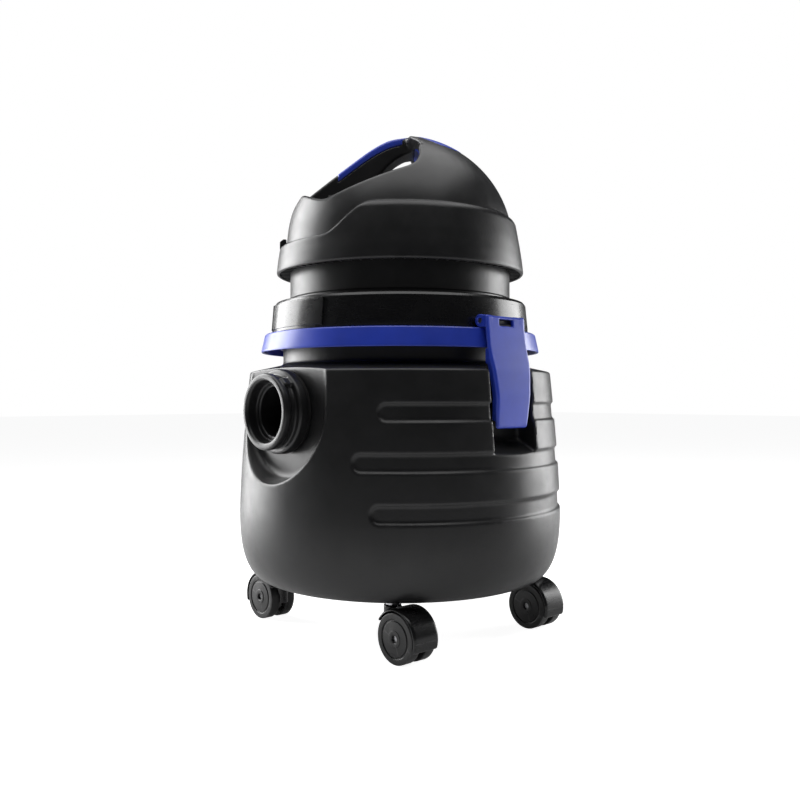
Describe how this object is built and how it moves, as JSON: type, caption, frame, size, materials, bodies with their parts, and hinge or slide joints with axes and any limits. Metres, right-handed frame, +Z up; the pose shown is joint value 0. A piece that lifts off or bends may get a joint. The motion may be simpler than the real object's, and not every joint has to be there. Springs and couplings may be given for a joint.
{
  "type": "shop vacuum",
  "caption": "Round wet and dry vacuum: black tank on casters with a front hose inlet, a lift-off domed motor head with a carrying handle, and blue side latches.",
  "frame": {"origin": "on the floor under the tank's axis", "axes": "+Z up, the hose inlet faces -Y, the latches are at +X and -X"},
  "size_m": [0.2888, 0.2923, 0.4407],
  "materials": {
    "body_black": "satin moulded polypropylene, fine grain",
    "gloss_black": "polished",
    "accent_blue": "semi-gloss moulded plastic",
    "caster_black": "satin nylon",
    "wheel_grey": "hard nylon tread",
    "steel": "zinc plated",
    "copper": "lacquered windings",
    "rubber": "matt",
    "carbon": "matt",
    "filter_foam": "open cell foam",
    "float_white": "matt"
  },
  "bodies": {
    "tank": {"tank": "body_black", "tank_ring": "accent_blue", "inlet_port": "body_black", "inlet_gasket": "rubber", "inlet_deflector": "body_black"},
    "head": {"lid_base": "gloss_black", "tank_seal": "rubber", "nameplate": "gloss_black", "motor_housing": "body_black", "head_shell": "body_black", "handle_inlay": "accent_blue", "exhaust_grille": "body_black", "cooling_cowl": "body_black", "cord_inlet": "rubber", "switch_bezel": "gloss_black", "motor_gasket": "rubber", "fan_shroud": "steel", "motor_stator": "steel", "motor_bracket": "body_black", "bearing_lower": "steel", "bearing_upper": "steel", "brush_right": "carbon", "brush_left": "carbon", "filter_cage": "body_black", "filter_sleeve": "filter_foam", "filter_band": "rubber", "latch_pin_right": "steel", "latch_pin_left": "steel"},
    "latch_right": {"latch_right": "accent_blue"},
    "latch_left": {"latch_left": "accent_blue"},
    "power_switch": {"power_switch": "gloss_black"},
    "motor_rotor": {"motor_rotor": "copper", "impeller": "steel"},
    "float": {"float_ball": "float_white"},
    "caster_front_right": {"caster_stem_front_right": "steel", "caster_hood_front_right": "caster_black", "caster_axle_front_right": "steel"},
    "wheel_a_front_right": {"caster_wheel_a_front_right": "wheel_grey"},
    "wheel_b_front_right": {"caster_wheel_b_front_right": "wheel_grey"},
    "caster_rear_right": {"caster_stem_rear_right": "steel", "caster_hood_rear_right": "caster_black", "caster_axle_rear_right": "steel"},
    "wheel_a_rear_right": {"caster_wheel_a_rear_right": "wheel_grey"},
    "wheel_b_rear_right": {"caster_wheel_b_rear_right": "wheel_grey"},
    "caster_rear_left": {"caster_stem_rear_left": "steel", "caster_hood_rear_left": "caster_black", "caster_axle_rear_left": "steel"},
    "wheel_a_rear_left": {"caster_wheel_a_rear_left": "wheel_grey"},
    "wheel_b_rear_left": {"caster_wheel_b_rear_left": "wheel_grey"},
    "caster_front_left": {"caster_stem_front_left": "steel", "caster_hood_front_left": "caster_black", "caster_axle_front_left": "steel"},
    "wheel_a_front_left": {"caster_wheel_a_front_left": "wheel_grey"},
    "wheel_b_front_left": {"caster_wheel_b_front_left": "wheel_grey"}
  },
  "joints": [
    {"name": "head_lift", "type": "slide", "parent": "tank", "child": "head", "axis": [0, 0, 1], "range_m": [0, 0.2]},
    {"name": "latch_right_hinge", "type": "hinge", "parent": "head", "child": "latch_right", "pos_m": [0.1197, 0, 0.2663], "axis": [0, -1, 0], "range_deg": [-4.5, 90]},
    {"name": "latch_left_hinge", "type": "hinge", "parent": "head", "child": "latch_left", "pos_m": [-0.1197, 0, 0.2663], "axis": [0, 1, 0], "range_deg": [-4.5, 90]},
    {"name": "switch_rock", "type": "hinge", "parent": "head", "child": "power_switch", "pos_m": [-0.00938, -0.06422, 0.38382], "axis": [0.7431, -0.6691, 0], "range_deg": [0, 14]},
    {"name": "motor_spin", "type": "hinge", "parent": "head", "child": "motor_rotor", "pos_m": [0, 0, 0.3061], "axis": [0, 0, 1], "continuous": true},
    {"name": "float_rise", "type": "slide", "parent": "head", "child": "float", "axis": [0, 0, 1], "range_m": [0, 0.0675]},
    {"name": "caster_swivel_front_right", "type": "hinge", "parent": "tank", "child": "caster_front_right", "pos_m": [0.07806, -0.07806, 0.04], "axis": [0, 0, 1], "continuous": true},
    {"name": "wheel_a_roll_front_right", "type": "hinge", "parent": "caster_front_right", "child": "wheel_a_front_right", "pos_m": [0.09406, -0.07806, 0.02], "axis": [0, 1, 0], "continuous": true},
    {"name": "wheel_b_roll_front_right", "type": "hinge", "parent": "caster_front_right", "child": "wheel_b_front_right", "pos_m": [0.09406, -0.07806, 0.02], "axis": [0, 1, 0], "continuous": true},
    {"name": "caster_swivel_rear_right", "type": "hinge", "parent": "tank", "child": "caster_rear_right", "pos_m": [0.07806, 0.07806, 0.04], "axis": [0, 0, 1], "continuous": true},
    {"name": "wheel_a_roll_rear_right", "type": "hinge", "parent": "caster_rear_right", "child": "wheel_a_rear_right", "pos_m": [0.09406, 0.07806, 0.02], "axis": [0, 1, 0], "continuous": true},
    {"name": "wheel_b_roll_rear_right", "type": "hinge", "parent": "caster_rear_right", "child": "wheel_b_rear_right", "pos_m": [0.09406, 0.07806, 0.02], "axis": [0, 1, 0], "continuous": true},
    {"name": "caster_swivel_rear_left", "type": "hinge", "parent": "tank", "child": "caster_rear_left", "pos_m": [-0.07806, 0.07806, 0.04], "axis": [0, 0, 1], "continuous": true},
    {"name": "wheel_a_roll_rear_left", "type": "hinge", "parent": "caster_rear_left", "child": "wheel_a_rear_left", "pos_m": [-0.09406, 0.07806, 0.02], "axis": [0, 1, 0], "continuous": true},
    {"name": "wheel_b_roll_rear_left", "type": "hinge", "parent": "caster_rear_left", "child": "wheel_b_rear_left", "pos_m": [-0.09406, 0.07806, 0.02], "axis": [0, 1, 0], "continuous": true},
    {"name": "caster_swivel_front_left", "type": "hinge", "parent": "tank", "child": "caster_front_left", "pos_m": [-0.07806, -0.07806, 0.04], "axis": [0, 0, 1], "continuous": true},
    {"name": "wheel_a_roll_front_left", "type": "hinge", "parent": "caster_front_left", "child": "wheel_a_front_left", "pos_m": [-0.09406, -0.07806, 0.02], "axis": [0, 1, 0], "continuous": true},
    {"name": "wheel_b_roll_front_left", "type": "hinge", "parent": "caster_front_left", "child": "wheel_b_front_left", "pos_m": [-0.09406, -0.07806, 0.02], "axis": [0, 1, 0], "continuous": true}
  ]
}
